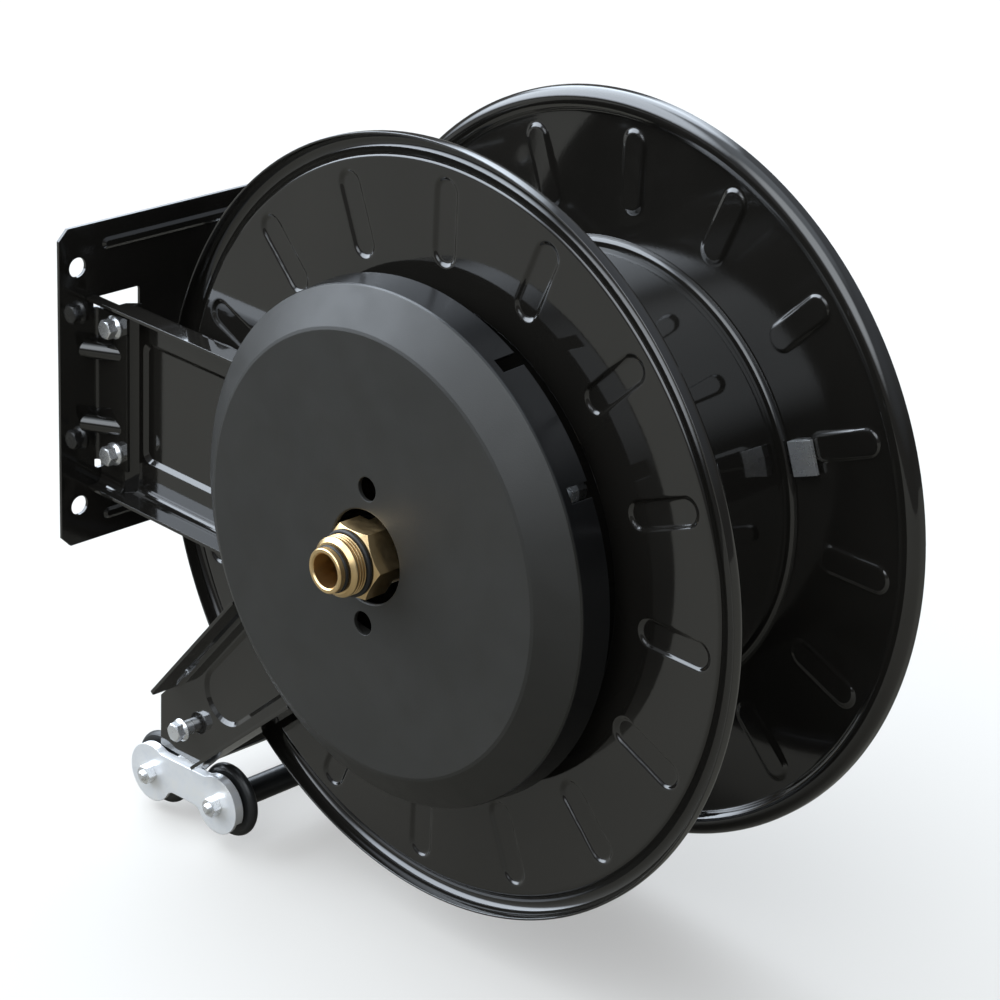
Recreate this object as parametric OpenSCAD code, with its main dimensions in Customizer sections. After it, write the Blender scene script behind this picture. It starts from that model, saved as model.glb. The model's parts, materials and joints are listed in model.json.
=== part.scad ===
// Wall-mounted fuel hose reel with spring rewind, drawn without hose.
// Frame: wall plate back at X = 0, reel axle along Y, Z up, drum middle at Y = 0.
// Millimetres throughout.

/* [Drum] */
// Outside diameter over the rolled rims
flange_d = 550; // [450:1:650]
// Distance between the middles of the two rolled rims
rim_gap = 185.5; // [120:0.5:260]
// Radius of the rolled rim's tube
bead_r = 5.6; // [4:0.1:9]
// Flange sheet thickness
flange_t = 1.5; // [1:0.1:3]
// How far the flange's flat face stands inside the rim's middle
flat_in = 2.3; // [0:0.1:5]
// Radius of the dished centre's edge on the flange
dish_r = 170; // [120:1:200]
// Depth of the dished centre
dish_depth = 5; // [2:0.5:12]
// Step from the barrel's outside to the edge of the dished centre
dish_step = 7; // [4:0.5:15]
// Barrel sheet thickness
barrel_t = 2; // [1:0.5:4]
// Number of pressed obrounds round each flange
emboss_n = 16; // [8:1:24]
// Radius to the middle of each obround
emboss_mid_r = 221; // [190:1:240]
// Overall length of each obround
emboss_len = 62; // [30:1:80]
// Overall width of each obround
emboss_w = 22; // [10:1:30]
// Depth of each obround
emboss_depth = 2.5; // [1:0.1:5]

/* [Wall plate] */
// Plate width along the reel's axle
plate_w = 311; // [250:1:400]
// Plate height
plate_h = 248.5; // [180:0.5:320]
// Plate sheet thickness
plate_t = 2.5; // [2:0.5:6]
// Mounting hole distance across
hole_dy = 278; // [200:1:350]
// Mounting hole distance up
hole_dz = 187; // [120:1:260]
// Mounting hole diameter
hole_d = 15; // [8:0.5:18]
// Reel axle's distance from the wall
axis_x = 328; // [300:1:400]
// Reel axle's height over the middle of the mounting holes
axis_z = -15; // [-60:1:60]

/* [Arms] */
// Height of the main arms
arm_h = 151; // [100:1:200]
// Main arm's middle height over the reel's axle
arm_up = 9; // [-20:0.5:30]
// Arm sheet thickness
arm_t = 2.5; // [2:0.5:5]
// Depth of the main arm's channel
arm_depth = 24; // [15:0.5:40]
// Distance from the drum's middle to each main arm's inner face
arm_in = 107.75; // [100:0.25:150]
// Inside bend radius of the arms
bend_r = 6; // [3:0.5:8]
// Direction of the guide arms, seen from the near side
guide_angle = 225.6; // [200:0.1:270]
// Distance from the axle to the guide arm's point
guide_tip = 370.5; // [320:0.5:420]

/* [Roller guide] */
// Distance between the two roller axles
roller_pitch = 76.8; // [60:0.1:100]
// Tilt of the pair of rollers
roller_tilt = 3.1; // [-10:0.1:10]
// Roller tube diameter
roller_d = 20; // [14:1:40]
// Diameter of the rollers' end discs
roller_disc_d = 57.5; // [40:1:70]

/* [Cover and inlet] */
// Radius of the cover's front face
cover_front_r = 155.9; // [120:0.1:175]
// Cover's largest radius
cover_r = 184; // [150:0.5:200]
// How far the cover stands out from the near rim's middle
cover_out = 60; // [45:0.5:90]
// Cover wall thickness
cover_t = 2.8; // [2:0.1:4]
// Inlet thread diameter, G1 1/4
inlet_d = 41.91; // [34:0.01:50]
// How far the inlet's mouth stands out from the near rim's middle
inlet_out = 96; // [80:0.5:130]

/* [Axle] */
// Axle journal diameter
axle_d = 40; // [30:1:50]
// Fuel bore diameter
fuel_d = 24; // [15:0.5:25]
// Radial running clearance of the bushes and rollers
run_gap = 0.05; // [0.01:0.01:0.1]
// Clearance between neighbouring bodies
body_gap = 0.4; // [0.3:0.1:1]

/* [Hidden] */
$fn = 0;
rim_y = rim_gap/2;
barrel_r = dish_r - dish_step;
rim_r = flange_d/2 - bead_r;
flat_y = rim_y - flat_in;
floor_y = flat_y - dish_depth;
inner_y = floor_y - flange_t;
plate_hole_r = hole_d/2;
arm_out = arm_in + arm_t;
arm_edge = arm_in + arm_depth;
arm_z0 = axis_z + arm_up - arm_h/2;
arm_z1 = axis_z + arm_up + arm_h/2;
// Guide arm's web lies on the outside of the main arm's web
guide_in = arm_out;
guide_out = guide_in + arm_t;
guide_edge = guide_out + 24;
// Lanced tabs of the wall plate
tab_y = 119.25;
tab_len = 34.8;
tab_h = 120;
window_h = 135;
gusset_z = 29;
gusset_r = 6.5;
gusset_out = 9;
gusset_up = 15;
tab_bolt_x = 22.7;
tab_bolt_dz = 99.5;
bolt_r = 4;
window_in = 82;
// Hub of the arms
hub_hole_r = 26.2;
stub_r = 15;
hub_bolt_r = 49;
hub_pad_r = 65;
// Cover's front, shoulder and rear edge, and the front of its notches for the arms
cover_y0 = -rim_y - cover_out;
cover_y1 = cover_y0 + 19;
cover_y2 = -arm_out - 0.3;
cover_notch = cover_y2 - 24.5;
// Guide arm ends
guide_bolt = [-227.5, -233];
tie_at = [-199.4, -237.6];
roller_mid = [-226.6, -282.9];
bracket_y = rim_y + 27.5;
bracket_t = 2.5;
bracket_r = 23;
lip_end = guide_out + 0.1;
roller_end = guide_in - 0.7;
spacer_len = 8;
// Spring case
case_r = 104;
rim_case_r = 121;
lid_r = 118;
lid_t = 2;
lid_y = floor_y + lid_t;
opening_r = 108;
case_end = 20;
lid_screw_r = 113;
// Bushes and hubs
bush_r = 24;
bush_in = axle_d/2 + run_gap;
hub_r = 30;
// Ratchet
ratchet_n = 24;
ratchet_tip = 85;
ratchet_root = 78;
ratchet_y = lid_y + 6;
ratchet_t = 6;
pawl_at = [-105, 30];
pawl_pin_r = 5;
// Tie rods
rod_at = 140;
rod_r = 4;
rod_angles = [30, 120, 210, 300];
// Swivel and outlet
swivel_y0 = 5;
swivel_y1 = 55;
swivel_y = (swivel_y0 + swivel_y1)/2;
swivel_r = 34;
outlet_angle = 255;
outlet_r = 13.5;
outlet_bend = 30;
outlet_turn = 150;
cover_screws_at = [[70, 62], [70, -42], [-105, 62]];

// Node to draw

// Helpers

// Points of an arc about a centre
function arc(c, r, a0, a1, n) = [for (i = [0:n]) c + r*[cos(a0 + (a1 - a0)*i/n), sin(a0 + (a1 - a0)*i/n)]];

// Place at the reel's axle
module at_axle() translate([axis_x, 0, axis_z]) children();

// Turned about the Y axis from a profile of [radius, y]
module turned(p) rotate([-90, 0, 0]) rotate_extrude() polygon(p);

// Ring about the Y axis
module ring(ri, ro, y0, y1) {
    turned([[ri, y0], [ro, y0], [ro, y1], [ri, y1]]);
}

// Round bar along Y
module rod(r, y0, y1) {
    translate([0, y0, 0])
        rotate([-90, 0, 0])
            cylinder(r = r, h = y1 - y0);
}

// Sheet in the XZ plane from y0 to y1
module sheet(y0, y1) {
    translate([0, y1, 0])
        rotate([90, 0, 0])
            linear_extrude(y1 - y0)
                children();
}

// Sheet in the YZ plane from x0 to x1
module sheet_x(x0, x1) {
    translate([x0, 0, 0])
        rotate([90, 0, 90])
            linear_extrude(x1 - x0)
                children();
}

// Sheet in the XY plane from z0 to z1
module sheet_z(z0, z1) {
    translate([0, 0, z0])
        linear_extrude(z1 - z0)
            children();
}

// Rounded rectangle between two corners
module rounded(p0, p1, r) {
    c0 = p0 + [r, r];
    c1 = p1 - [r, r];
    polygon(concat(
        arc([c1[0], c1[1]], r, 0, 90, 6),
        arc([c0[0], c1[1]], r, 90, 180, 6),
        arc([c0[0], c0[1]], r, 180, 270, 6),
        arc([c1[0], c0[1]], r, 270, 360, 6)));
}

// Hexagon by its width over the flats
module hexagon(af) circle(d = af/cos(30), $fn = 6);

// Hex nut along Y with chamfered corners
module nut(af, bore_r, y0, y1) {
    c = af*0.085;
    difference() {
        intersection() {
            sheet(y0, y1) hexagon(af);
            turned([[0, y0], [af/2, y0], [af/2 + c, y0 + c*0.6], [af/2 + c, y1 - c*0.6], [af/2, y1], [0, y1]]);
        }
        rod(bore_r, y0 - 1, y1 + 1);
    }
}

// Hex head towards -Y over a flange on a face at y, with a shank to the tail
module bolt(af, head_h, flange_r, flange_h, r, y, tail) {
    c = af*0.08;
    top = y - flange_h - head_h;
    intersection() {
        sheet(top, y - flange_h) hexagon(af);
        turned([[0, top], [af/2 - c/2, top], [af/2 + c*1.3, top + c], [af/2 + c*1.3, y], [0, y]]);
    }
    turned([[0, y - flange_h - 0.5], [af/2, y - flange_h - 0.5], [flange_r, y - 0.9], [flange_r, y], [0, y]]);
    rod(r, y - 0.5, tail - 1);
    turned([[0, tail - 1], [r, tail - 1], [r - 1, tail], [0, tail]]);
}

// Both sides of the drum
module both_sides() {
    children();
    mirror([0, 1, 0]) children();
}

// Wall plate

// Plate outline with chamfered corners
module plate_outline() {
    c = 8;
    w = plate_w/2;
    h = plate_h/2;
    polygon([[w - c, -h], [w, -h + c], [w, h - c], [w - c, h], [c - w, h], [-w, h - c], [-w, c - h], [c - w, -h]]);
}

// One lanced tab, bent forward on the near side
module plate_tab() {
    ri = 3;
    sheet_z(-tab_h/2, tab_h/2)
        polygon(concat(
            arc([plate_t + ri, -tab_y - plate_t - ri], ri, 180, 90, 6),
            [[plate_t + tab_len, -tab_y - plate_t], [plate_t + tab_len, -tab_y]],
            arc([plate_t + ri, -tab_y - plate_t - ri], ri + plate_t, 90, 180, 6)));
    // Rounded gussets across the bend
    for (z = [-1, 1])
        intersection() {
            translate([plate_t, -tab_y - plate_t - gusset_out, z*gusset_z])
                rotate([0, 90, atan2(gusset_out, gusset_up)])
                    translate([0, 0, -gusset_up])
                        cylinder(r = gusset_r, h = 3*gusset_up);
            translate([plate_t - 0.5, -tab_y - plate_t - 2*gusset_out, z*gusset_z - gusset_r])
                cube([2*gusset_up, 2*gusset_out + 0.5, 2*gusset_r]);
        }
}

// Stiffening bead, pressed forward
module plate_bead(grow, h) {
    w = 112;
    r = 4.5 + grow;
    for (s = [-1, 1])
        translate([0, s*w, 0]) rotate([0, 90, 0]) cylinder(r1 = r, r2 = r - 2.4, h = h);
    translate([0, w, 0])
        rotate([90, 0, 0])
            linear_extrude(2*w)
                polygon([[0, -r], [h, -r + 2.4], [h, r - 2.4], [0, r]]);
}

module wall_plate() {
    color("#262524") {
        bead_z = plate_h/2 - 17.5;
        difference() {
            union() {
                difference() {
                    sheet_x(0, plate_t) plate_outline();
                    both_sides()
                        sheet_x(-1, plate_t + 1)
                            rounded([-tab_y - plate_t - 3, -window_h/2], [-window_in, window_h/2], 3);
                }
                both_sides() plate_tab();
                for (s = [-1, 1])
                    translate([plate_t, 0, s*bead_z]) plate_bead(0, 1.8);
            }
            for (s = [-1, 1])
                translate([0, 0, s*bead_z]) plate_bead(-0.4, 1.8);
            for (y = [-1, 1])
                for (z = [-1, 1])
                    translate([-1, y*hole_dy/2, z*hole_dz/2])
                        rotate([0, 90, 0]) cylinder(r = plate_hole_r, h = plate_t + 2);
            for (z = [-1, 1])
                translate([tab_bolt_x, 0, z*tab_bolt_dz/2])
                    rod(bolt_r + 0.4, -plate_w, plate_w);
        }
    }
}

// Arms

// Channel cross-section in the YZ plane, flanges towards -Y, web inner face at -w
module channel(w, z0, z1, edge) {
    ro = bend_r + arm_t;
    y = -w - arm_t;
    polygon(concat(
        [[-edge, z1 - arm_t]],
        arc([y - bend_r, z1 - ro], bend_r, 90, 0, 6),
        arc([y - bend_r, z0 + ro], bend_r, 0, -90, 6),
        [[-edge, z0 + arm_t], [-edge, z0]],
        arc([-w - ro, z0 + ro], ro, -90, 0, 6),
        arc([-w - ro, z1 - ro], ro, 0, 90, 6),
        [[-edge, z1]]));
}

// Rounded panel, the larger face at y and the smaller at y + depth
module panel(p0, p1, r, slope, y, depth) {
    hull() {
        sheet(y - 0.3, y + 0.01) rounded(p0, p1, r);
        sheet(y + depth - 0.01, y + depth) rounded(p0 + [slope, slope], p1 - [slope, slope], r - slope/2);
    }
}

// Main arm on the near side
module arm_near() {
    joggle = tab_y - arm_out;
    x0 = plate_t + 0.5;
    x1 = 30.6;
    x2 = 36.6;
    top_end = axis_x - 60;
    low_end = axis_x - 140;
    web_end = axis_x + 88;
    za = arm_z0;
    zb = arm_z1;
    panel_z0 = -52.4;
    panel_z1 = 42.6;
    difference() {
        union() {
            sheet_x(x0, x1) channel(arm_in + joggle, za, zb, arm_edge);
            sheet_x(x2, low_end) channel(arm_in, za, zb, arm_edge);
            difference() {
                sheet_x(low_end - 1, top_end) channel(arm_in, za, zb, arm_edge);
                translate([low_end, -arm_edge - 1, za - 1]) cube([200, arm_depth - arm_t + 1, arm_h/2]);
            }
            sheet_z(za + arm_t + bend_r, zb - arm_t - bend_r)
                polygon([[x1 - 0.5, -tab_y], [x2 + 0.5, -arm_out], [x2 + 0.5, -arm_in], [x1 - 0.5, -tab_y + arm_t]]);
            for (z = [za, zb - arm_t - bend_r])
                sheet_z(z, z + arm_t + bend_r)
                    polygon([[x1 - 0.5, -tab_y], [x2 + 0.5, -arm_out], [x2 + 0.5, -arm_in], [x1 - 0.5, -tab_y + arm_t]]);
            for (z = [za, zb - arm_t])
                sheet_z(z, z + arm_t)
                    polygon([[x1 - 0.5, -arm_edge], [x2 + 0.5, -arm_edge], [x2 + 0.5, -arm_in], [x1 - 0.5, -tab_y + arm_t]]);
            sheet(-arm_out, -arm_in) rounded([top_end - 60, za], [web_end, zb], 30);
            panel([41.8, panel_z0], [top_end - 80, panel_z1], 8, 3.6, -arm_in, 2.2);
        }
        panel([41.8, panel_z0], [top_end - 80, panel_z1], 8, 3.6, -arm_out, 2.2);
        for (z = [-1, 1])
            translate([tab_bolt_x, 0, z*tab_bolt_dz/2]) rod(bolt_r + 0.4, -arm_edge - 5, 0);
        translate([axis_x, 0, axis_z])
            for (z = [-1, 1])
                translate([0, 0, z*hub_bolt_r]) rod(bolt_r + 0.2, -arm_edge, 0);
    }
}

module near_arm() {
    color("#262524")
        difference() {
            arm_near();
            at_axle() {
                rod(hub_hole_r, -arm_edge, 0);
                translate([pawl_at[0], 0, pawl_at[1]]) rod(pawl_pin_r, -arm_edge, 0);
                for (p = cover_screws_at)
                    translate([p[0], 0, p[1]]) rod(2.2, -arm_edge, 0);
            }
        }
}

module far_arm() {
    color("#262524")
        difference() {
            mirror([0, 1, 0]) arm_near();
            at_axle() rod(stub_r + 0.1, 0, arm_edge);
        }
}

// Guide arm outline seen from the near side, about the axle
module guide_web() {
    difference() {
        union() {
            circle(r = hub_pad_r);
            rotate(guide_angle)
                polygon([[0, -48], [140, -46.5], [317, -33.3], [guide_tip - 30.1, -33.3], [guide_tip, -3.8],
                    [guide_tip - 36.3, 33.3], [317, 33.3], [140, 46.5], [0, 48]]);
        }
        for (z = [-1, 1])
            translate([0, z*hub_bolt_r]) circle(r = bolt_r + 0.2);
        translate(guide_bolt) circle(r = 4.4);
    }
}

// One side flange of the guide arm, along the web's tapering edge
module guide_flange() {
    x0 = 150;
    x1 = 320;
    h0 = 45.75;
    h1 = 33.1;
    end_r = 6;
    a = atan2(h0 - h1, x1 - x0);
    len = norm([x1 - x0, h0 - h1]);
    translate([x0, 0, h0])
        rotate([0, a, 0]) {
            difference() {
                translate([0, -guide_edge, -arm_t]) cube([len, guide_edge - guide_in, arm_t]);
                translate([len - end_r, -guide_edge + end_r, -5]) mirror([0, 1, 0])
                    difference() {
                        cube([20, 20, 10]);
                        translate([0, 0, -1]) cylinder(r = end_r, h = 12);
                    }
            }
            translate([0, 0, -arm_t - 4])
                sheet_x(0, len - 6)
                    polygon(concat([[-guide_out + 0.2, 4.2]], arc([-guide_out - 4, 0], 4, 90, 0, 5), [[-guide_out + 0.2, 0]]));
        }
}

// Tapering recessed panel of the guide arm with a round end
module guide_panel(y) {
    mid = 268;
    back = 160;
    r = 23.5;
    slope = 3.2;
    hull() {
        sheet(y - 0.3, y + 0.01)
            offset(r, $fn = 48) polygon([[back, -7.5], [mid, -0.5], [mid, 0.5], [back, 7.5]]);
        sheet(y + 2.19, y + 2.2)
            offset(r - slope, $fn = 48) polygon([[back, -7.5], [mid, -0.5], [mid, 0.5], [back, 7.5]]);
    }
}

module guide_near() {
    difference() {
        union() {
            sheet(-guide_out, -guide_in) guide_web();
            rotate([0, -guide_angle, 0]) {
                guide_flange();
                mirror([0, 0, 1]) guide_flange();
                guide_panel(-guide_in);
            }
        }
        rotate([0, -guide_angle, 0]) guide_panel(-guide_out);
    }
}

// Space of the cover, cut from the guide arm's edges along the bevel
module cover_relief() {
    gap = 1.8;
    turned([[0, cover_y0], [cover_front_r + gap, cover_y0], [cover_front_r + 0.8 + gap, cover_y0 + 0.8],
        [cover_r - 3 + gap, cover_y1 - 0.9], [cover_r - 3 + gap, cover_notch + 0.55], [0, cover_notch + 0.55]]);
}

module near_guide_arm() {
    color("#262524")
        at_axle()
            difference() {
                guide_near();
                rod(hub_hole_r, -arm_edge, 0);
                cover_relief();
            }
}

module far_guide_arm() {
    color("#262524")
        at_axle()
            difference() {
                mirror([0, 1, 0]) guide_near();
                rod(stub_r + 0.1, 0, arm_edge);
            }
}

module guide_tie() {
    color("#262524")
        at_axle()
            translate([tie_at[0], 0, tie_at[1]])
                ring(8.4, 10, -guide_in, guide_in);
}

module arm_bolts() {
    color("#c9ccd0")
        both_sides()
            for (z = [-1, 1])
                translate([tab_bolt_x, 0, z*tab_bolt_dz/2])
                    bolt(13, 7.2, 8.8, 2.6, bolt_r, -tab_y - plate_t, -tab_y + arm_t + 10.5);
}

module arm_nuts() {
    color("#c9ccd0")
        both_sides()
            for (z = [-1, 1])
                translate([tab_bolt_x, 0, z*tab_bolt_dz/2])
                    nut(13, bolt_r, -tab_y + arm_t, -tab_y + arm_t + 7.5);
}

module guide_bolts() {
    color("#c9ccd0")
        at_axle()
            both_sides()
                translate([guide_bolt[0], 0, guide_bolt[1]]) {
                    bolt(13, 6.4, 8.8, 2.2, 4, -guide_out - spacer_len, -guide_in + bracket_t + 10.5);
                    rod(5.6, -guide_out - spacer_len, -guide_out);
                }
}

module guide_nuts() {
    color("#c9ccd0")
        at_axle()
            both_sides()
                translate([guide_bolt[0], 0, guide_bolt[1]])
                    nut(13, 4, -guide_in + bracket_t, -guide_in + bracket_t + 7.5);
}

// Roller guide

// Place at one roller's axle, side -1 rear or 1 front
module at_roller(side) {
    at_axle()
        translate([roller_mid[0], 0, roller_mid[1]])
            rotate([0, -roller_tilt, 0])
                translate([side*roller_pitch/2, 0, 0])
                    children();
}

// Dog-bone outline of the bracket about the rollers' middle
module dog_bone() {
    offset(-9, $fn = 32)
        offset(9, $fn = 32)
            union() {
                for (s = [-1, 1])
                    translate([s*roller_pitch/2, 0]) circle(r = bracket_r, $fn = 40);
                translate([-roller_pitch/2, -8.5]) square([roller_pitch, 28]);
            }
}

module bracket() {
    half = 14;
    step = 19.5 - bracket_t;
    top = guide_bolt[1] - roller_mid[1];
    at_axle()
        translate([roller_mid[0], 0, roller_mid[1]])
            rotate([0, -roller_tilt, 0])
                difference() {
                    union() {
                        sheet(-bracket_y, -bracket_y + bracket_t) dog_bone();
                        sheet(-bracket_y, -lip_end)
                            difference() {
                                dog_bone();
                                offset(-bracket_t, $fn = 32) dog_bone();
                                polygon([[-80, -40], [-80, 2], [-42, -4], [40, -4], [80, -16], [80, -40]]);
                            }
                        // Tab behind the guide arm, on a step under its lower edge
                        translate([-half, -lip_end - 1, step]) cube([2*half, lip_end + 1 - guide_in + bracket_t, bracket_t]);
                        sheet(-guide_in, -guide_in + bracket_t)
                            polygon(concat([[half, step]], arc([0, top], half, 0, 180, 14), [[-half, step]]));
                    }
                    for (s = [-1, 1])
                        translate([s*roller_pitch/2, 0, 0]) rod(4.2, -bracket_y - 1, -rim_y);
                    rotate([0, roller_tilt, 0])
                        translate([guide_bolt[0] - roller_mid[0], 0, top])
                            rod(4.4, -bracket_y, -rim_y);
                }
}

module near_bracket() {
    color("#c9ccd0") bracket();
}

module far_bracket() {
    color("#c9ccd0") mirror([0, 1, 0]) bracket();
}

// Black roller with rounded end discs, turning on its pin
module roller(side) {
    rd = roller_disc_d/2;
    rt = roller_d/2;
    re = 4.2;
    y1 = roller_end;
    y0 = y1 - 9;
    at_roller(side)
        difference() {
            union() {
                turned(concat([[0, -y1]], arc([rd - re, -y1 + re], re, -90, 90, 8), [[rt + 5, -y0], [rt, -y0 + 5], [rt, y0 - 5], [rt + 5, y0]],
                    arc([rd - re, y1 - re], re, -90, 90, 8), [[0, y1]]));
            }
            rod(4 + run_gap, -y1 - 1, y1 + 1);
        }
}

module front_roller() {
    color("#1b1b1c") roller(1);
}

module rear_roller() {
    color("#1b1b1c") roller(-1);
}

module roller_pins() {
    e = bracket_y + 10.2;
    color("#c9ccd0")
        for (s = [-1, 1])
            at_roller(s)
                turned([[0, -e], [2.6, -e], [4, -e + 1.4], [4, e - 1.4], [2.6, e], [0, e]]);
}

module roller_nuts() {
    color("#c9ccd0")
        for (s = [-1, 1])
            at_roller(s)
                both_sides()
                    nut(13, 4, -bracket_y - 7.5, -bracket_y);
}

module roller_spacers() {
    color("#c9ccd0")
        for (s = [-1, 1])
            at_roller(s)
                both_sides()
                    ring(4, 7, -bracket_y + bracket_t, -roller_end - body_gap);
}

// Drum

// Sloped obround standing r out along the flange, its larger face at y
module obround(y, h) {
    r0 = emboss_w/2;
    r1 = r0 - 4.6;
    l = emboss_len/2 - r0;
    translate([emboss_mid_r, y, 0]) {
        for (s = [-1, 1])
            translate([s*l, 0, 0]) rotate([-90, 0, 0]) cylinder(r1 = r0, r2 = r1, h = h);
        rotate([90, 0, 90])
            translate([0, 0, -l])
                linear_extrude(2*l)
                    polygon([[0, -r0], [h, -r1], [h, r1], [0, r0]]);
    }
}

// Near flange with its outer face towards -Y, centre hole of the given radius
module flange(hole_r) {
    t = flange_t;
    curl = rim_r - 9.5;
    difference() {
        union() {
            turned(concat(
                [[hole_r, -floor_y], [dish_r - 6, -floor_y]],
                [[dish_r - 5.2, -floor_y - 0.6], [dish_r - 1, -flat_y + 0.6], [dish_r, -flat_y]],
                [[curl - 3, -flat_y], [curl, -flat_y + 1.2], [curl + 2, -flat_y + 1.2]],
                arc([rim_r, -rim_y], bead_r, 150, 450, 20),
                [[rim_r - 2, -rim_y + bead_r - 0.4], [curl + 1.4, -flat_y + 1.2 + t], [curl - 0.4, -flat_y + 1.2 + t], [curl - 3.4, -flat_y + t]],
                [[dish_r + 0.4, -flat_y + t], [dish_r - 0.6, -flat_y + 0.6 + t], [dish_r - 4.8, -inner_y - 0.6], [dish_r - 5.6, -inner_y], [hole_r, -inner_y]]));
            for (i = [0:emboss_n - 1])
                rotate([0, i*360/emboss_n, 0]) obround(-flat_y + t, emboss_depth);
        }
        for (i = [0:emboss_n - 1])
            rotate([0, i*360/emboss_n, 0]) obround(-flat_y, emboss_depth);
        for (a = rod_angles)
            rotate([0, -a, 0]) translate([rod_at, 0, 0]) rod(rod_r + 0.2, -rim_y, 0);
    }
}

module near_flange() {
    color("#262524")
        at_axle()
            difference() {
                flange(opening_r);
                for (i = [0:5])
                    rotate([0, i*60, 0]) translate([lid_screw_r, 0, 0]) rod(3.2, -rim_y, 0);
            }
}

module far_flange() {
    color("#262524")
        at_axle()
            difference() {
                mirror([0, 1, 0]) flange(hub_r + 0.1);
                for (i = [0:3])
                    rotate([0, i*90 + 45, 0]) translate([45, 0, 0]) rod(4.2, 0, rim_y);
            }
}

// Zinc tab on the far flange's inner face, standing over the start of one obround
module hose_tab() {
    y = flat_y - flange_t;
    top = y - emboss_depth - 3.1;
    foot = emboss_mid_r - emboss_len/2 - 1.5;
    color("#c9ccd0")
        at_axle()
            rotate([0, -20.8, 0]) {
                translate([dish_r + 4.6, top, -12.2]) cube([20.5, 3, 24.4]);
                translate([dish_r + 4.6, top + 2.9, -12.2]) cube([foot - dish_r - 4.6, y - top - 2.9, 24.4]);
            }
}

module barrel() {
    color("#262524")
        at_axle()
            difference() {
                ring(barrel_r - barrel_t, barrel_r, -inner_y, inner_y);
                rotate([0, -outlet_angle, 0])
                    translate([barrel_r - 20, swivel_y - 24, -20]) cube([40, 48, 82]);
            }
}

module tie_rods() {
    e = floor_y + 10;
    color("#c9ccd0")
        at_axle()
            for (a = rod_angles)
                rotate([0, -a, 0])
                    translate([rod_at, 0, 0])
                        turned([[0, -e], [rod_r - 1, -e], [rod_r, -e + 1], [rod_r, e - 1], [rod_r - 1, e], [0, e]]);
}

module tie_nuts() {
    color("#c9ccd0")
        at_axle()
            both_sides()
                for (a = rod_angles)
                    rotate([0, -a, 0])
                        translate([rod_at, 0, 0]) nut(13, rod_r, -floor_y - 6.5, -floor_y);
}

// Spring case, lid and spring

module spring_case() {
    color("#4b4d4f")
        at_axle()
            difference() {
                turned([[case_r - 2, -inner_y], [rim_case_r, -inner_y], [rim_case_r, -inner_y + 2], [case_r, -inner_y + 2],
                    [case_r, -case_end], [23, -case_end], [23, -case_end - 2], [case_r - 2, -case_end - 2]]);
                for (i = [0:5])
                    rotate([0, i*60, 0]) translate([lid_screw_r, 0, 0]) rod(3, -rim_y, 0);
            }
}

module spring_lid() {
    color("#4b4d4f")
        at_axle()
            difference() {
                turned([[bush_r, -lid_y], [lid_r, -lid_y], [lid_r, -floor_y], [hub_r, -floor_y], [hub_r, -60], [bush_r, -60]]);
                for (i = [0:5])
                    rotate([0, i*60, 0]) translate([lid_screw_r, 0, 0]) rod(3.2, -rim_y, 0);
            }
}

module lid_screws() {
    color("#c9ccd0")
        at_axle()
            for (i = [0:5])
                rotate([0, i*60, 0])
                    translate([lid_screw_r, 0, 0]) {
                        sheet(-lid_y - 4, -lid_y) hexagon(10);
                        rod(3, -lid_y - 1, -inner_y + 5);
                    }
}

// Flat spiral spring, packed against the case and ending in a loop near the axle
module power_spring() {
    n = 32;
    packed = 9;
    turns = 11;
    r_out = case_r - 2.3;
    pitch = 2.4;
    t = 1;
    r_pack = r_out - packed*pitch;
    r_in = 33;
    function rad(k) = k <= packed ? r_out - k*pitch : r_pack - (k - packed)*(r_pack - r_in)/(turns - packed);
    color("#6d7075")
        at_axle()
            sheet(-inner_y + 6, -case_end - 7)
                polygon(concat(
                    [for (i = [0:turns*n]) rad(i/n)*[cos(i*360/n), sin(i*360/n)]],
                    [for (i = [turns*n:-1:0]) (rad(i/n) - t)*[cos(i*360/n), sin(i*360/n)]]));
}

// Hubs and bushes

module near_bush() {
    color("#8c6f3c")
        at_axle()
            turned([[bush_in, -lid_y - 2], [27, -lid_y - 2], [27, -lid_y], [bush_r, -lid_y], [bush_r, -60], [bush_in, -60]]);
}

module far_hub() {
    color("#4b4d4f")
        at_axle()
            difference() {
                turned([[bush_r, 60], [hub_r, 60], [hub_r, floor_y], [60, floor_y], [60, floor_y + 4], [bush_r, floor_y + 4]]);
                for (i = [0:3])
                    rotate([0, i*90 + 45, 0]) translate([45, 0, 0]) rod(4.2, 0, rim_y);
            }
}

module far_bush() {
    color("#8c6f3c")
        at_axle()
            turned([[bush_in, 60], [bush_r, 60], [bush_r, floor_y + 4], [27, floor_y + 4], [27, floor_y + 6], [bush_in, floor_y + 6]]);
}

module far_hub_bolts() {
    color("#c9ccd0")
        at_axle()
            for (i = [0:3])
                rotate([0, i*90 + 45, 0])
                    translate([45, 0, 0])
                        mirror([0, 1, 0]) bolt(13, 5.5, 6.4, 0.6, 4, -floor_y - 4, -inner_y + 9);
}

module far_hub_nuts() {
    color("#c9ccd0")
        at_axle()
            for (i = [0:3])
                rotate([0, i*90 + 45, 0])
                    translate([45, 0, 0]) nut(13, 4, inner_y - 6.5, inner_y);
}

module far_spacer() {
    color("#8f9296")
        at_axle()
            ring(axle_d/2, 26, floor_y + 6 + body_gap, arm_in);
}

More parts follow.
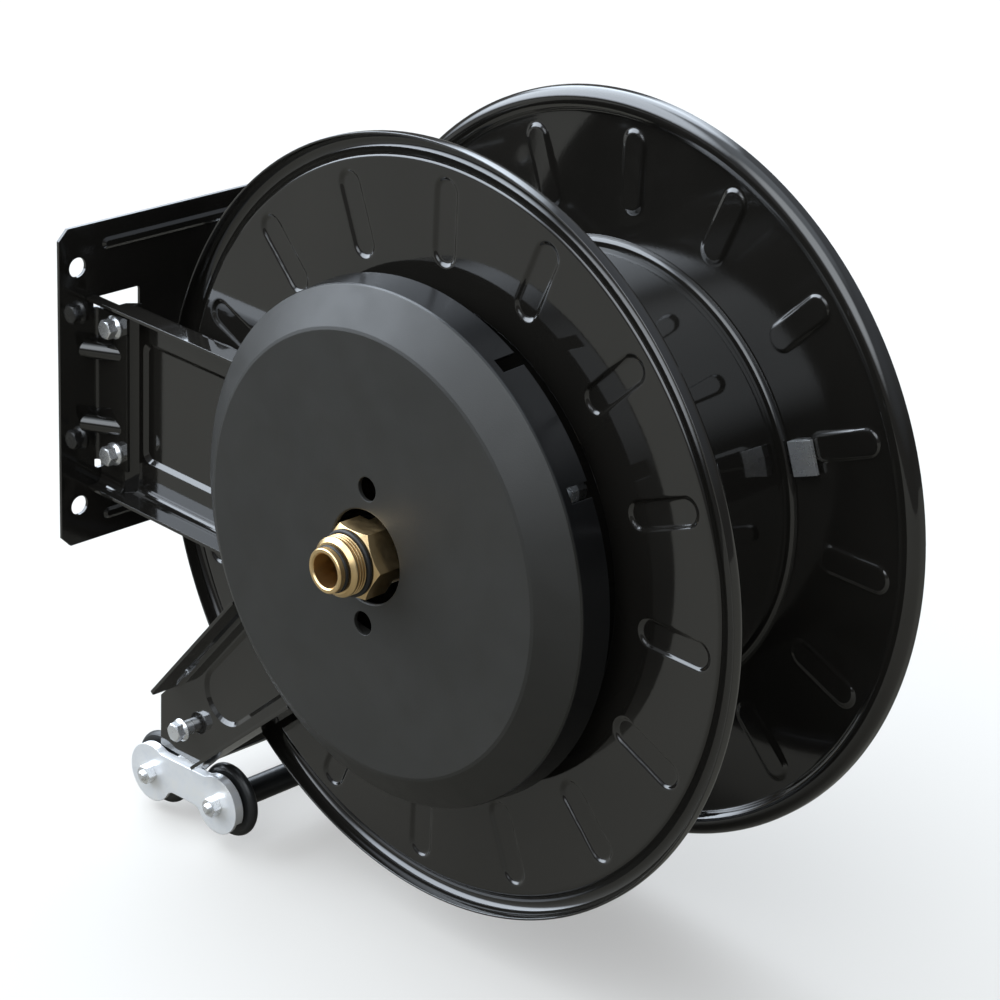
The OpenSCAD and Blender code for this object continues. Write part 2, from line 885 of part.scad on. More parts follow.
module axle() {
    ra = axle_d/2;
    rf = fuel_d/2;
    tip = arm_in + 2*arm_t + 24;
    color("#8f9296")
        at_axle()
            difference() {
                turned([[15.2, -rim_y - 25], [26, -rim_y - 25], [26, -arm_in], [62, -arm_in], [62, -arm_in + 6], [26, -arm_in + 6],
                    [26, -lid_y - 2 - body_gap], [ra, -lid_y - 2 - body_gap],
                    [ra, 10.2], [17.4, 10.2], [17.4, 13.8], [ra, 13.8], [ra, 46.2], [17.4, 46.2], [17.4, 49.8], [ra, 49.8],
                    [ra, arm_in], [stub_r, arm_in], [stub_r, tip - 1.5], [stub_r - 1.5, tip], [0, tip],
                    [0, 40], [rf, 40], [rf, -rim_y - 6], [15.2, -rim_y - 6]]);
                for (a = [0, 90])
                    rotate([0, a, 0])
                        translate([-axle_d, swivel_y, 0]) rotate([0, 90, 0]) cylinder(r = 5, h = 2*axle_d);
                for (z = [-1, 1])
                    translate([0, 0, z*hub_bolt_r]) rod(bolt_r, -rim_y - 30, 0);
            }
}

module hub_bolts() {
    color("#c9ccd0")
        at_axle()
            for (z = [-1, 1])
                translate([0, 0, z*hub_bolt_r])
                    bolt(13, 5.8, 8.8, 2, bolt_r, -guide_out, -arm_in + 6);
}

module far_arm_bolts() {
    color("#c9ccd0")
        at_axle()
            for (z = [-1, 1])
                translate([0, 0, z*hub_bolt_r])
                    mirror([0, 1, 0]) bolt(13, 5.8, 8.8, 2, bolt_r, -guide_out, -arm_in + 9.5);
}

module far_arm_nuts() {
    color("#c9ccd0")
        at_axle()
            for (z = [-1, 1])
                translate([0, 0, z*hub_bolt_r]) nut(13, bolt_r, arm_in - 7.5, arm_in);
}

module axle_washer() {
    color("#c9ccd0")
        at_axle()
            ring(stub_r, 28, guide_out, guide_out + 3);
}

module axle_nut() {
    color("#c9ccd0")
        at_axle()
            nut(46, stub_r, guide_out + 3, guide_out + 19);
}

// Ratchet

module ratchet_ring() {
    p = 360/ratchet_n;
    color("#8f9296")
        at_axle() {
            sheet(-ratchet_y - ratchet_t, -ratchet_y)
                difference() {
                    polygon([for (i = [0:ratchet_n - 1]) for (q = [[0, ratchet_root], [0.88, ratchet_tip], [1, ratchet_tip]])
                        q[1]*[cos((i + q[0])*p), sin((i + q[0])*p)]]);
                    circle(r = 62, $fn = 64);
                }
            ring(62, 72, -ratchet_y, -lid_y);
        }
}

module pawl() {
    tip_r = ratchet_tip + 6;
    tip = tip_r*[cos(128), sin(128)];
    back = (tip_r + 9)*[cos(125), sin(125)];
    color("#8f9296")
        at_axle()
            difference() {
                sheet(-ratchet_y - 5.5, -ratchet_y - 0.8)
                    union() {
                        translate(pawl_at) circle(r = 11, $fn = 40);
                        polygon([pawl_at + [5.2, -6.1], tip, back, pawl_at + [-6.5, 7.6]]);
                    }
                translate([pawl_at[0], 0, pawl_at[1]]) rod(pawl_pin_r + run_gap, -arm_in, 0);
            }
}

module pawl_pin() {
    color("#c9ccd0")
        at_axle()
            translate([pawl_at[0], 0, pawl_at[1]])
                turned([[0, -arm_out - 1.5], [7, -arm_out - 1.5], [7, -arm_out], [pawl_pin_r, -arm_out], [pawl_pin_r, -arm_in],
                    [8, -arm_in], [8, -ratchet_y - 5.5 - body_gap], [pawl_pin_r, -ratchet_y - 5.5 - body_gap],
                    [pawl_pin_r, -ratchet_y + 0.6], [0, -ratchet_y + 0.6]]);
}

// Swivel and outlet

module swivel_housing() {
    color("#b08a3e")
        at_axle()
            difference() {
                union() {
                    turned([[bush_in, swivel_y0], [swivel_r - 2, swivel_y0], [swivel_r, swivel_y0 + 2], [swivel_r, swivel_y1 - 2],
                        [swivel_r - 2, swivel_y1], [bush_in, swivel_y1]]);
                    rotate([0, -outlet_angle, 0])
                        translate([swivel_r - 6, swivel_y, 0]) rotate([0, 90, 0]) cylinder(r = 18, h = 20);
                }
                rod(bush_in, 0, swivel_y1 + 1);
                rotate([0, -outlet_angle, 0])
                    translate([0, swivel_y, 0]) rotate([0, 90, 0]) cylinder(r = outlet_r, h = 60);
                turned([[0, swivel_y - 9], [24, swivel_y - 9], [24, swivel_y + 9], [0, swivel_y + 9]]);
            }
}

module swivel_seals() {
    color("#151515")
        at_axle()
            for (y = [12, 48])
                rotate([-90, 0, 0]) translate([0, 0, y]) rotate_extrude() translate([18.7, 0]) circle(r = 1.2);
}

module outlet_elbow() {
    ri = 10;
    leg = 38;
    color("#b08a3e")
        at_axle()
            rotate([0, -outlet_angle, 0])
                translate([0, swivel_y, 0])
                    difference() {
                        union() {
                            translate([swivel_r - 4, 0, 0]) rotate([0, 90, 0]) cylinder(r = outlet_r, h = outlet_turn - swivel_r + 4);
                            translate([outlet_turn, 0, outlet_bend]) rotate([-90, 0, 0])
                                rotate_extrude(angle = 90) translate([outlet_bend, 0]) circle(r = outlet_r);
                            translate([outlet_turn + outlet_bend, 0, outlet_bend]) cylinder(r = outlet_r, h = leg);
                            for (i = [0:4])
                                translate([outlet_turn + outlet_bend, 0, outlet_bend + leg - 4 - i*2.9])
                                    cylinder(r1 = outlet_r + 1.3, r2 = outlet_r - 0.2, h = 2.2);
                        }
                        translate([swivel_r - 5, 0, 0]) rotate([0, 90, 0]) cylinder(r = ri, h = outlet_turn - swivel_r + 5);
                        translate([outlet_turn, 0, outlet_bend]) rotate([-90, 0, 0])
                            rotate_extrude(angle = 90) translate([outlet_bend, 0]) circle(r = ri);
                        translate([outlet_turn + outlet_bend, 0, outlet_bend]) cylinder(r = ri, h = leg + 1);
                    }
}

// Cover and inlet

module spring_cover() {
    f = cover_y0;
    b = cover_y2;
    t = cover_t;
    shoulder = cover_y1;
    hole = 33;
    rib_in = 60;
    rib_out = cover_front_r - 12;
    color("#2f2f30")
        at_axle()
            difference() {
                union() {
                    turned([[hole, f + 0.9], [hole + 0.9, f], [cover_front_r - 1.5, f], [cover_front_r + 0.8, f + 0.8],
                        [cover_r - 3, shoulder - 0.9], [cover_r - 2.2, shoulder + 1], [cover_r, b],
                        [cover_r - t, b], [cover_r - 2.2 - t, shoulder + 1.6], [cover_front_r - 0.8, f + t], [hole, f + t]]);
                    for (i = [0:11])
                        rotate([0, i*30 + 15, 0]) translate([rib_in, f + t - 0.2, -1]) cube([rib_out - rib_in, 7, 2]);
                    ring(rib_in - 2, rib_in + 0.5, f + t - 0.2, f + t + 7);
                    for (p = cover_screws_at)
                        translate([p[0], 0, p[1]]) rod(6, f + t - 0.2, b + 0.3);
                }
                for (z = [-1, 1])
                    translate([0, 0, z*hub_bolt_r]) rod(8.5, f - 5, f + 12);
                for (p = cover_screws_at)
                    translate([p[0], 0, p[1]]) rod(1.8, -arm_out - 18, -arm_in);
                translate([-200, cover_notch, arm_up - arm_h/2 - 3]) cube([130, 30, arm_h + 6]);
                rotate([0, -guide_angle, 0]) translate([100, cover_notch, -49]) cube([100, 30, 98]);
                for (a = [30, 60])
                    rotate([0, -a, 0]) translate([cover_r - 15, b - 17, -5.25]) cube([30, 18, 10.5]);
            }
}

module cover_screws() {
    color("#c9ccd0")
        at_axle()
            for (p = cover_screws_at)
                translate([p[0], 0, p[1]])
                    turned([[0, -arm_out - 14], [1, -arm_out - 14], [1.8, -arm_out - 12], [1.8, -arm_in], [4.2, -arm_in],
                        [3.6, -arm_in + 2.4], [0, -arm_in + 2.4]]);
}

module inlet_fitting() {
    m = -rim_y - inlet_out;
    seat = -rim_y - 25;
    rt = inlet_d/2;
    rb = fuel_d/2;
    nose = rb + 3.7;
    neck = rt - 1.5;
    hex_y = m + 22.5;
    p = 2.309;
    color("#c9a24b")
        at_axle()
            difference() {
                union() {
                    turned(concat(
                        [[rb, m + 1], [rb + 1, m], [nose - 0.7, m], [nose, m + 0.7], [nose, m + 4.4],
                            [rb + 1.4, m + 4.4], [rb + 1.4, m + 7.6], [rt - 3, m + 7.6], [rt - 0.4, m + 9.8], [rt, m + 10.4]],
                        [for (i = [0:2]) for (q = [[0, rt], [0.6, rt - 1.2], [0.9, rt - 1.2], [1.5, rt]]) [q[1], m + 11.6 + i*p + q[0]]],
                        [[rt, m + 18], [rt - 0.4, m + 18.3], [neck, m + 18.3], [neck, hex_y + 1], [22.5, hex_y + 1], [22.5, seat - 2],
                            [25, seat - 2], [25, seat], [15.1, seat], [15.1, seat + 15], [14.1, seat + 16], [rb, seat + 16]]));
                    intersection() {
                        sheet(hex_y, hex_y + 20.5) hexagon(47);
                        turned([[0, hex_y], [23.2, hex_y], [27.3, hex_y + 2.6], [27.3, hex_y + 20.5], [0, hex_y + 20.5]]);
                    }
                }
                rod(rb, m - 1, 0);
            }
}

module inlet_rings() {
    m = -rim_y - inlet_out;
    color("#151515")
        at_axle() {
            rotate([-90, 0, 0]) translate([0, 0, m + 6]) rotate_extrude() translate([fuel_d/2 + 3.05, 0]) circle(r = 1.55);
            rotate([-90, 0, 0]) translate([0, 0, m + 20.4]) rotate_extrude() translate([inlet_d/2 + 0.5, 0]) circle(r = 1.9);
        }
}

wall_plate();
near_arm();
far_arm();
arm_bolts();
arm_nuts();
near_guide_arm();
far_guide_arm();
guide_tie();
near_bracket();
far_bracket();
guide_bolts();
guide_nuts();
roller_pins();
roller_nuts();
roller_spacers();
front_roller();
rear_roller();
near_flange();
far_flange();
hose_tab();
barrel();
spring_cover();
cover_screws();
inlet_fitting();
inlet_rings();
axle();
hub_bolts();
far_arm_bolts();
far_arm_nuts();
axle_nut();
axle_washer();
far_spacer();
near_bush();
far_bush();
far_hub();
far_hub_bolts();
far_hub_nuts();
spring_case();
spring_lid();
lid_screws();
power_spring();
tie_rods();
tie_nuts();
ratchet_ring();
pawl();
pawl_pin();
swivel_housing();
swivel_seals();
outlet_elbow();
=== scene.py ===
import json
import math
import bpy
import bmesh
from mathutils import Matrix, Vector


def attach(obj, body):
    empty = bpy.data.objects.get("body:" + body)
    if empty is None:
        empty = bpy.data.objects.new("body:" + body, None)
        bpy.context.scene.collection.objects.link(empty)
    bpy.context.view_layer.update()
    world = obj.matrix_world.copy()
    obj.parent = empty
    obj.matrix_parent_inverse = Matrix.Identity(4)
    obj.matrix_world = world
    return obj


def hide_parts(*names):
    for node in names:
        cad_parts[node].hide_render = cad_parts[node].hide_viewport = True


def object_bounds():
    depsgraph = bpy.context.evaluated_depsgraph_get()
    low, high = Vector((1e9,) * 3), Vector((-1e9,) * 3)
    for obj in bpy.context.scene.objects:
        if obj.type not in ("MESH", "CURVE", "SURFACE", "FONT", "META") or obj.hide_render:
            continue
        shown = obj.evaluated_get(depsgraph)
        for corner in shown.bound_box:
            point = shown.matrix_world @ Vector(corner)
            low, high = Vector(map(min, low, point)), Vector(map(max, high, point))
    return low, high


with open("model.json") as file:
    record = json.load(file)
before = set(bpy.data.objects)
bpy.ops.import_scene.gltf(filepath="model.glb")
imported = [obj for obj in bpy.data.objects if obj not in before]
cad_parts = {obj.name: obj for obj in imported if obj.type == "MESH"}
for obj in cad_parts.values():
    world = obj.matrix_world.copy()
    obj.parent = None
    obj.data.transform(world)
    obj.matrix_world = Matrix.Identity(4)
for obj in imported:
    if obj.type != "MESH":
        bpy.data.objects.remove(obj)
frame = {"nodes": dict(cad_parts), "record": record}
cad_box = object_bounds()
nodes = frame["nodes"]
scene = bpy.context.scene

# Camera, solved from the photo's rims, obrounds and arm edges
cam_data = bpy.data.cameras.new("camera")
cam_data.sensor_width = 36.0
cam_data.lens = 112.71
cam_data.clip_end = 50.0
cam = bpy.data.objects.new("camera", cam_data)
scene.collection.objects.link(cam)
right = Vector((0.703341, 0.709384, 0.045672))
up = Vector((-0.314104, 0.252505, 0.915194))
back = Vector((0.637692, -0.658039, 0.400417))
at = Vector((1.705533, -1.448118, 0.856516))
cam.matrix_world = Matrix((
    (right.x, up.x, back.x, at.x),
    (right.y, up.y, back.y, at.y),
    (right.z, up.z, back.z, at.z),
    (0, 0, 0, 1)))
scene.camera = cam

# Sizes shared with part.scad, in metres; RIM_Y is the middle of its solid rim, not of the one drawn here
AX = 0.328
AZ = -0.015
RIM_Y = 0.09275
FLANGE_R = 0.275
COVER_EDGE_Y = -0.13375


# Material helpers
def tree(name):
    """A new material with its node tree and its Principled shader."""
    m = bpy.data.materials.new(name)
    m.use_nodes = True
    nt = m.node_tree
    nt.nodes.clear()
    out = nt.nodes.new("ShaderNodeOutputMaterial")
    bsdf = nt.nodes.new("ShaderNodeBsdfPrincipled")
    nt.links.new(bsdf.outputs[0], out.inputs[0])
    return m, nt, bsdf


def coords(nt, scale=(1, 1, 1)):
    tc = nt.nodes.new("ShaderNodeTexCoord")
    mp = nt.nodes.new("ShaderNodeMapping")
    mp.inputs["Scale"].default_value = scale
    nt.links.new(tc.outputs["Object"], mp.inputs["Vector"])
    return mp.outputs[0]


def noise(nt, vec, scale, detail=3.0, rough=0.5):
    n = nt.nodes.new("ShaderNodeTexNoise")
    n.inputs["Scale"].default_value = scale
    n.inputs["Detail"].default_value = detail
    n.inputs["Roughness"].default_value = rough
    nt.links.new(vec, n.inputs["Vector"])
    return n.outputs["Fac"]


def ramp(nt, fac, stops):
    r = nt.nodes.new("ShaderNodeValToRGB")
    els = r.color_ramp.elements
    while len(els) < len(stops):
        els.new(0.5)
    for e, (pos, col) in zip(els, stops):
        e.position = pos
        e.color = (*col, 1)
    nt.links.new(fac, r.inputs[0])
    return r.outputs[0]


def spread(nt, fac, lo, hi, a=0.3, b=0.7):
    """Map the range a to b onto lo to hi."""
    r = nt.nodes.new("ShaderNodeMapRange")
    r.inputs["From Min"].default_value = a
    r.inputs["From Max"].default_value = b
    r.inputs["To Min"].default_value = lo
    r.inputs["To Max"].default_value = hi
    nt.links.new(fac, r.inputs[0])
    return r.outputs[0]


def bump(nt, bsdf, height, strength, distance, before):
    b = nt.nodes.new("ShaderNodeBump")
    b.inputs["Strength"].default_value = strength
    b.inputs["Distance"].default_value = distance
    nt.links.new(height, b.inputs["Height"])
    nt.links.new(before, b.inputs["Normal"])
    nt.links.new(b.outputs[0], bsdf.inputs["Normal"])


def edges(nt, radius):
    """Normals rounded over sharp edges by the given radius."""
    b = nt.nodes.new("ShaderNodeBevel")
    b.samples = 6
    b.inputs["Radius"].default_value = radius
    return b.outputs[0]


def paint():
    m, nt, b = tree("black_gloss_paint")
    v = coords(nt)
    shades = [(0.3, (0.0084, 0.0077, 0.0066)), (0.7, (0.0125, 0.0114, 0.0098))]
    nt.links.new(ramp(nt, noise(nt, v, 9, 5), shades), b.inputs["Base Color"])
    nt.links.new(spread(nt, noise(nt, v, 22, 6, 0.6), 0.05, 0.10), b.inputs["Roughness"])
    b.inputs["IOR"].default_value = 1.6
    b.inputs["Coat Weight"].default_value = 0.5
    b.inputs["Coat Roughness"].default_value = 0.04
    bump(nt, b, noise(nt, v, 420, 2), 0.035, 0.0004, edges(nt, 0.0007))
    return m


def zinc(name, radius, metal, rough):
    m, nt, b = tree(name)
    v = coords(nt)
    shades = [(0.3, (0.80, 0.82, 0.85)), (0.5, (0.87, 0.88, 0.89)), (0.72, (0.90, 0.89, 0.86))]
    nt.links.new(ramp(nt, noise(nt, v, 60, 6, 0.65), shades), b.inputs["Base Color"])
    b.inputs["Metallic"].default_value = metal
    nt.links.new(spread(nt, noise(nt, v, 90, 4), rough, rough + 0.08), b.inputs["Roughness"])
    bump(nt, b, noise(nt, v, 500, 2), 0.03, 0.0003, edges(nt, radius))
    return m


def brass():
    m, nt, b = tree("machined_brass")
    v = coords(nt)
    shades = [(0.3, (0.86, 0.60, 0.29)), (0.7, (0.94, 0.70, 0.38))]
    nt.links.new(ramp(nt, noise(nt, v, 80, 5), shades), b.inputs["Base Color"])
    b.inputs["Metallic"].default_value = 1.0
    nt.links.new(spread(nt, noise(nt, v, 300, 4), 0.28, 0.36), b.inputs["Roughness"])
    bump(nt, b, noise(nt, v, 900, 2), 0.02, 0.0002, edges(nt, 0.0003))
    return m


def cover_plastic():
    """Grained front and bevel, bright worn edge, and a glossy side wall behind it, coloured darker as
    painted shade.
    """
    m, nt, b = tree("matt_cover")
    v = coords(nt)
    place = nt.nodes.new("ShaderNodeNewGeometry")
    split = nt.nodes.new("ShaderNodeSeparateXYZ")
    nt.links.new(place.outputs["Position"], split.inputs[0])
    y = split.outputs[1]
    front_shades = [(0.3, (0.0170, 0.0165, 0.0145)), (0.7, (0.0225, 0.0218, 0.0195))]
    # The side wall's tones are far darker than the front's: painted shade on the wall. Its gloss comes
    # from the roughness.
    wall_painted_shade_tones = [(0.3, (0.0060, 0.0060, 0.0062)), (0.7, (0.0085, 0.0085, 0.0088))]
    grained = ramp(nt, noise(nt, v, 14, 6, 0.6), front_shades)
    shaded_wall_colour = ramp(nt, noise(nt, v, 20, 4), wall_painted_shade_tones)
    # Mask from the front's colour to the wall's painted-shade colour, behind the cover's edge
    wall = spread(nt, y, 0, 1, COVER_EDGE_Y + 0.0003, COVER_EDGE_Y + 0.0007)
    worn = spread(nt, y, 0, 1, COVER_EDGE_Y - 0.0010, COVER_EDGE_Y - 0.0004)
    tint = nt.nodes.new("ShaderNodeMix")
    tint.data_type = "RGBA"
    nt.links.new(wall, tint.inputs["Factor"])
    nt.links.new(grained, tint.inputs[6])
    nt.links.new(shaded_wall_colour, tint.inputs[7])
    nt.links.new(tint.outputs[2], b.inputs["Base Color"])
    rough = nt.nodes.new("ShaderNodeMix")
    nt.links.new(worn, rough.inputs["Factor"])
    nt.links.new(spread(nt, noise(nt, v, 40, 5), 0.44, 0.54), rough.inputs[2])
    nt.links.new(spread(nt, noise(nt, v, 30, 3), 0.13, 0.19), rough.inputs[3])
    nt.links.new(rough.outputs[0], b.inputs["Roughness"])
    bump(nt, b, noise(nt, v, 1200, 3), 0.32, 0.0002, edges(nt, 0.0009))
    return m


def plastic(name, low, high, r0, r1, grain=700):
    m, nt, b = tree(name)
    v = coords(nt)
    nt.links.new(ramp(nt, noise(nt, v, 30, 5), [(0.3, low), (0.7, high)]), b.inputs["Base Color"])
    nt.links.new(spread(nt, noise(nt, v, 70, 4), r0, r1), b.inputs["Roughness"])
    bump(nt, b, noise(nt, v, grain, 3), 0.12, 0.0003, edges(nt, 0.0005))
    return m


def steel(name, low, high, r0, r1):
    m, nt, b = tree(name)
    v = coords(nt)
    nt.links.new(ramp(nt, noise(nt, v, 45, 6, 0.6), [(0.3, low), (0.7, high)]), b.inputs["Base Color"])
    b.inputs["Metallic"].default_value = 1.0
    nt.links.new(spread(nt, noise(nt, v, 160, 4), r0, r1), b.inputs["Roughness"])
    bump(nt, b, noise(nt, coords(nt, (30, 900, 30)), 1, 2), 0.08, 0.0002, edges(nt, 0.0004))
    return m


MATS = {
    "paint": paint(),
    "zinc": zinc("zinc_plate", 0.0004, 0.85, 0.24),
    "brass": brass(),
    "cover_plastic": cover_plastic(),
    "roller_plastic": plastic("roller_plastic", (0.010, 0.0105, 0.011), (0.016, 0.0165, 0.017), 0.28, 0.4),
    "seal": plastic("seal_rubber", (0.006, 0.006, 0.006), (0.011, 0.011, 0.011), 0.4, 0.55, 1200),
    "steel": steel("plain_steel", (0.30, 0.30, 0.31), (0.46, 0.46, 0.47), 0.3, 0.45),
    "bronze": steel("oiled_bronze", (0.36, 0.24, 0.10), (0.50, 0.35, 0.17), 0.35, 0.5),
    "spring_steel": steel("blued_strip", (0.14, 0.15, 0.18), (0.24, 0.25, 0.28), 0.25, 0.4),
}
SLOT = {s["node"]: s["material_slot"] for s in frame["record"]["subparts"]}
for name, obj in nodes.items():
    obj.data.materials.clear()
    obj.data.materials.append(MATS[SLOT[name]])
zinc_sheet = zinc("zinc_sheet", 0.0010, 0.5, 0.3)
for name in ("near_bracket", "far_bracket"):
    nodes[name].data.materials[0] = zinc_sheet

# Flanges: rim rolled to an open gutter, pressed obrounds with soft slopes, dished centre.
# A profile point is (r, u): radius from the axle, depth from RIM_Y toward the hose.
SHEET = 0.0015
NEAR_HOLE_R = 0.108
FAR_HOLE_R = 0.0301

# Obrounds
SECTORS = 16
SECTOR = 22.5
MID_R = 0.221
HALF_LEN = 0.031
HALF_W = 0.011
SLOPE = 0.0032
DEPTH = 0.0018

# Flat, and the shoulder from it to the dished floor
FLAT_U = 0.0023
STEP = 0.0050
STEP_R = 0.1650
FLOOR_U = FLAT_U + STEP
FOOT_R = 0.0007
FOOT_U = 0.0002
DISH_RING = 0.14

# Bend from the flat into the gutter, which it meets in tangent at the angle MEET
BEND = 0.0030
BEND_R = 0.2570
HOLLOW = 0.0070
GUTTER_R = FLANGE_R - SHEET - HOLLOW
GUTTER_U = 0.0021
MEET = math.degrees(math.atan2(FLAT_U + BEND - GUTTER_U, GUTTER_R - BEND_R))

# Rim's cut edge
LIP_U = -0.0028
LIP_SIDE = -0.0025
LIP_TOP = -0.0010
LIP_BREAK = 0.0003
WALL_R = GUTTER_R + HOLLOW

# Rings over the flat, close together over the obrounds' ends
FINE = 0.0011
FINE_RINGS = 14
RINGS = [0.172, 0.178, 0.184] + [0.1890 + FINE*i for i in range(FINE_RINGS)]
RINGS += [0.2080 + 0.0085*i for i in range(4)]
RINGS += [0.2387 + FINE*i for i in range(FINE_RINGS)] + [0.2555]
PRESSED_FROM = 0.186
PRESSED_TO = 0.2555
PRESSED_ABOVE = FLOOR_U - 0.001

# Spokes of the mesh in one sector, in degrees from the obround's middle
HALF_SPAN = 3.5
SPAN_SPOKES = 30
GAP_SPOKES = 8

# Steeper edges than this, in degrees, are shaded sharp
SHARP = 38


def arc(cx, cy, r, a0, a1, n):
    """Points of an arc in n steps from angle a0 to a1, in degrees."""
    turns = [math.radians(a0 + (a1 - a0)*i/n) for i in range(n + 1)]
    return [(cx + r*math.cos(t), cy + r*math.sin(t)) for t in turns]


def smooth(t):
    t = min(max(t, 0.0), 1.0)
    return t*t*(3 - 2*t)


def pressed(r, a):
    """Depth of the pressing at radius r and angle a degrees from an obround's middle."""
    x = abs(r*math.cos(math.radians(a)) - MID_R) - (HALF_LEN - HALF_W)
    y = r*math.sin(math.radians(a))
    d = math.hypot(max(x, 0.0), y)
    return DEPTH*smooth((HALF_W - d)/SLOPE)


def mesh_object(name, verts, faces, material, body, replaced):
    me = bpy.data.meshes.new(name)
    me.from_pydata(verts, [], faces)
    me.update()
    b = bmesh.new()
    b.from_mesh(me)
    bmesh.ops.recalc_face_normals(b, faces=b.faces)
    b.to_mesh(me)
    b.free()
    me.polygons.foreach_set("use_smooth", [True]*len(me.polygons))
    me.set_sharp_from_angle(angle=math.radians(SHARP))
    me.materials.append(material)
    o = bpy.data.objects.new(name, me)
    scene.collection.objects.link(o)
    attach(o, body)
    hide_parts(*replaced)


def profile(hole):
    """The sheet's closed outline: outer face, cut edge, hose side."""
    dish = [hole, DISH_RING]
    outer = [(r, FLOOR_U) for r in dish]
    outer += arc(STEP_R, FLAT_U + SHEET, STEP - SHEET, 90, 8, 8)
    outer += [(STEP_R + STEP - FOOT_R, FLAT_U + FOOT_U)]
    outer += [(r, FLAT_U) for r in RINGS]
    outer += arc(BEND_R, FLAT_U + BEND, BEND, -90, -MEET, 7)
    outer += arc(GUTTER_R, GUTTER_U, HOLLOW, 180 - MEET, 0, 18)
    lip = [(WALL_R, LIP_TOP), (WALL_R, LIP_SIDE), (WALL_R + LIP_BREAK, LIP_U)]
    lip += [(WALL_R + SHEET - LIP_BREAK, LIP_U), (WALL_R + SHEET, LIP_SIDE), (WALL_R + SHEET, LIP_TOP)]
    inner = arc(GUTTER_R, GUTTER_U, HOLLOW + SHEET, 0, 180 - MEET, 20)
    inner += arc(BEND_R, FLAT_U + BEND, BEND - SHEET, -MEET, -90, 7)
    inner += [(r, FLAT_U + SHEET) for r in reversed(RINGS)]
    inner += arc(STEP_R, FLAT_U + SHEET, STEP, 0, 90, 10)
    inner += [(r, FLOOR_U + SHEET) for r in reversed(dish)]
    return outer + lip + inner


def spokes():
    """Each spoke's angle, and its angle from the nearest obround's middle."""
    found = []
    gap = SECTOR - 2*HALF_SPAN
    for k in range(SECTORS):
        turns = [-HALF_SPAN + 2*HALF_SPAN*i/SPAN_SPOKES for i in range(SPAN_SPOKES)]
        turns += [HALF_SPAN + gap*i/GAP_SPOKES for i in range(GAP_SPOKES)]
        found += [(k*SECTOR + t, t if t < SECTOR/2 else t - SECTOR) for t in turns]
    return found


def flange(name, side, hole, replaced):
    """Turn the profile round the axle on side -1 near or 1 far, with the obrounds pressed in."""
    prof = profile(hole)
    cols = spokes()
    verts = []
    for turn, from_mid in cols:
        a = math.radians(turn)
        for r, u in prof:
            if PRESSED_FROM < r < PRESSED_TO and u < PRESSED_ABOVE:
                u = u + pressed(r, from_mid)
            verts.append((AX + r*math.cos(a), side*(RIM_Y - u), AZ + r*math.sin(a)))
    n = len(prof)
    c = len(cols)
    faces = []
    for i in range(c):
        j = (i + 1) % c
        for k in range(n):
            m = (k + 1) % n
            faces.append((i*n + k, i*n + m, j*n + m, j*n + k))
    mesh_object(name, verts, faces, MATS["paint"], "drum", replaced)


flange("near_flange_pressed", -1, NEAR_HOLE_R, ("near_flange",))
flange("far_flange_pressed", 1, FAR_HOLE_R, ("far_flange",))

# Floor: pale with the object's shadow to the camera, brown-grey ground to the reflections
FLOOR_HALF = 6.0
FLOOR_DROP = 0.004
bm = bmesh.new()
bmesh.ops.create_grid(bm, x_segments=2, y_segments=2, size=FLOOR_HALF)
floor_mesh = bpy.data.meshes.new("floor")
bm.to_mesh(floor_mesh)
bm.free()
floor = bpy.data.objects.new("floor", floor_mesh)
floor.location = (0, 0, cad_box[0][2] - FLOOR_DROP)
scene.collection.objects.link(floor)
m, nt, b = tree("pale_floor")
b.inputs["Base Color"].default_value = (0.135, 0.122, 0.097, 1)
b.inputs["Roughness"].default_value = 0.9
seen = nt.nodes.new("ShaderNodeBsdfDiffuse")
seen.inputs[0].default_value = (0.38, 0.365, 0.34, 1)
glow = nt.nodes.new("ShaderNodeEmission")
glow.inputs[0].default_value = (1, 1, 1, 1)
glow.inputs[1].default_value = 0.36
both = nt.nodes.new("ShaderNodeAddShader")
nt.links.new(seen.outputs[0], both.inputs[0])
nt.links.new(glow.outputs[0], both.inputs[1])
path = nt.nodes.new("ShaderNodeLightPath")
mix = nt.nodes.new("ShaderNodeMixShader")
nt.links.new(path.outputs["Is Camera Ray"], mix.inputs[0])
nt.links.new(b.outputs[0], mix.inputs[1])
nt.links.new(both.outputs[0], mix.inputs[2])
nt.links.new(mix.outputs[0], [n for n in nt.nodes if n.type == "OUTPUT_MATERIAL"][0].inputs[0])
floor_mesh.materials.append(m)

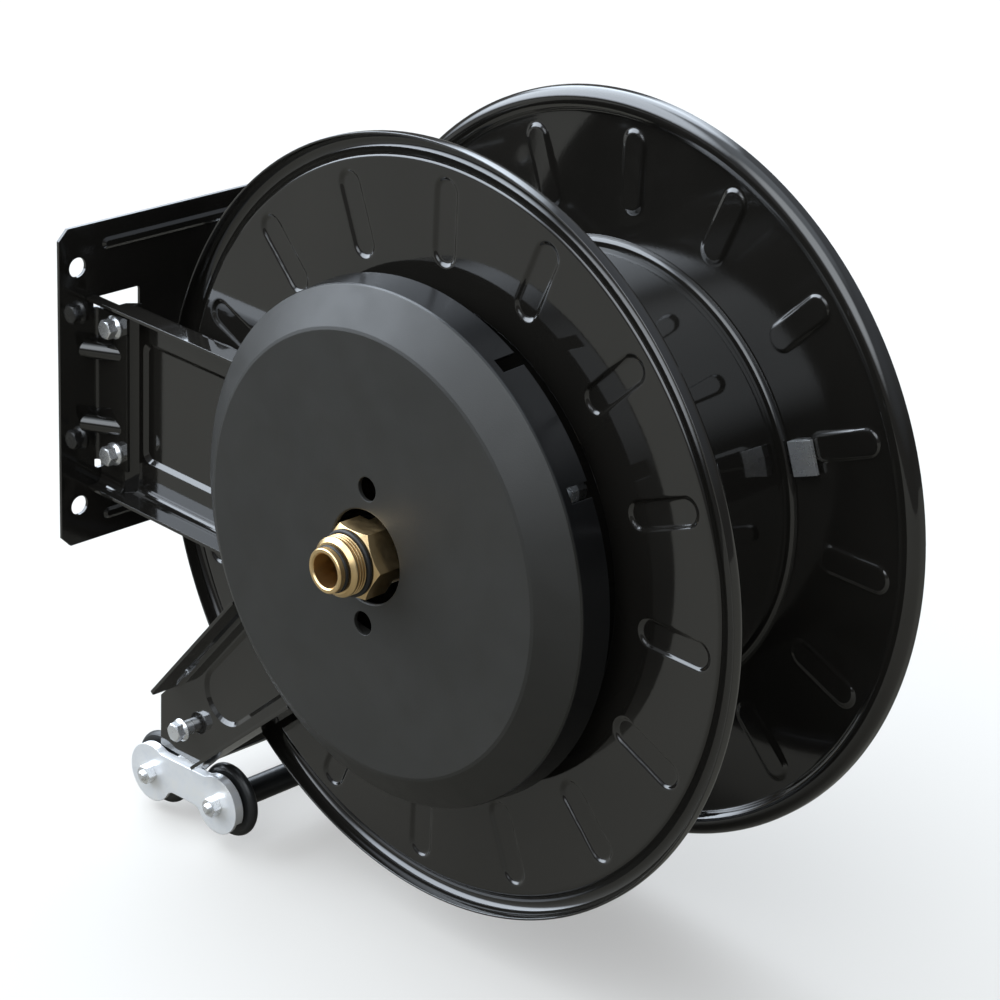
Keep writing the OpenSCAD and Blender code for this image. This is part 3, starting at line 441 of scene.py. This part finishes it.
# World: a dim sky with four broad bright patches, none of them to the right, white to the camera
world = bpy.data.worlds.new("world")
scene.world = world
world.use_nodes = True
wt = world.node_tree
wt.nodes.clear()
wout = wt.nodes.new("ShaderNodeOutputWorld")
wc = wt.nodes.new("ShaderNodeTexCoord")
ws = wt.nodes.new("ShaderNodeSeparateXYZ")
wt.links.new(wc.outputs["Generated"], ws.inputs[0])


def backdrop(color, strength):
    bg = wt.nodes.new("ShaderNodeBackground")
    bg.inputs[0].default_value = (*color, 1)
    bg.inputs[1].default_value = strength
    return bg.outputs[0]


def over(under, top, fac):
    m = wt.nodes.new("ShaderNodeMixShader")
    wt.links.new(fac, m.inputs[0])
    wt.links.new(under, m.inputs[1])
    wt.links.new(top, m.inputs[2])
    return m.outputs[0]


def patch(under, azimuth, height, full, edge, color, strength):
    """Lay a round patch of sky over the shader: full inside one angle, gone outside the other."""
    az = math.radians(azimuth)
    el = math.radians(height)
    d = wt.nodes.new("ShaderNodeVectorMath")
    d.operation = "DOT_PRODUCT"
    d.inputs[1].default_value = (math.cos(el)*math.cos(az), math.cos(el)*math.sin(az), math.sin(el))
    wt.links.new(wc.outputs["Generated"], d.inputs[0])
    r = wt.nodes.new("ShaderNodeMapRange")
    r.interpolation_type = "SMOOTHSTEP"
    r.inputs["From Min"].default_value = math.cos(math.radians(edge))
    r.inputs["From Max"].default_value = math.cos(math.radians(full))
    wt.links.new(d.outputs["Value"], r.inputs[0])
    return over(under, backdrop(color, strength), r.outputs[0])


low = backdrop((1.0, 0.98, 0.95), 0.10)
high = backdrop((0.80, 0.88, 1.0), 0.40)
sky = over(low, high, spread(wt, ws.outputs[2], 0, 1, 0.15, 0.6))
# Overhead, front (inlet side), back and key (both wall side), each laid over the one before
sky = patch(sky, 0, 90, 20, 40, (0.80, 0.89, 1.0), 1.2)
sky = patch(sky, 290, 44, 16, 34, (0.88, 0.94, 1.0), 3.2)
sky = patch(sky, 150, 42, 18, 30, (0.80, 0.89, 1.0), 5.5)
sky = patch(sky, 207, 33, 22, 36, (0.82, 0.90, 1.0), 6.0)
wpath = wt.nodes.new("ShaderNodeLightPath")
sky = over(sky, backdrop((1, 1, 1), 1.0), wpath.outputs["Is Camera Ray"])
wt.links.new(sky, wout.inputs[0])

scene.view_settings.view_transform = "Standard"
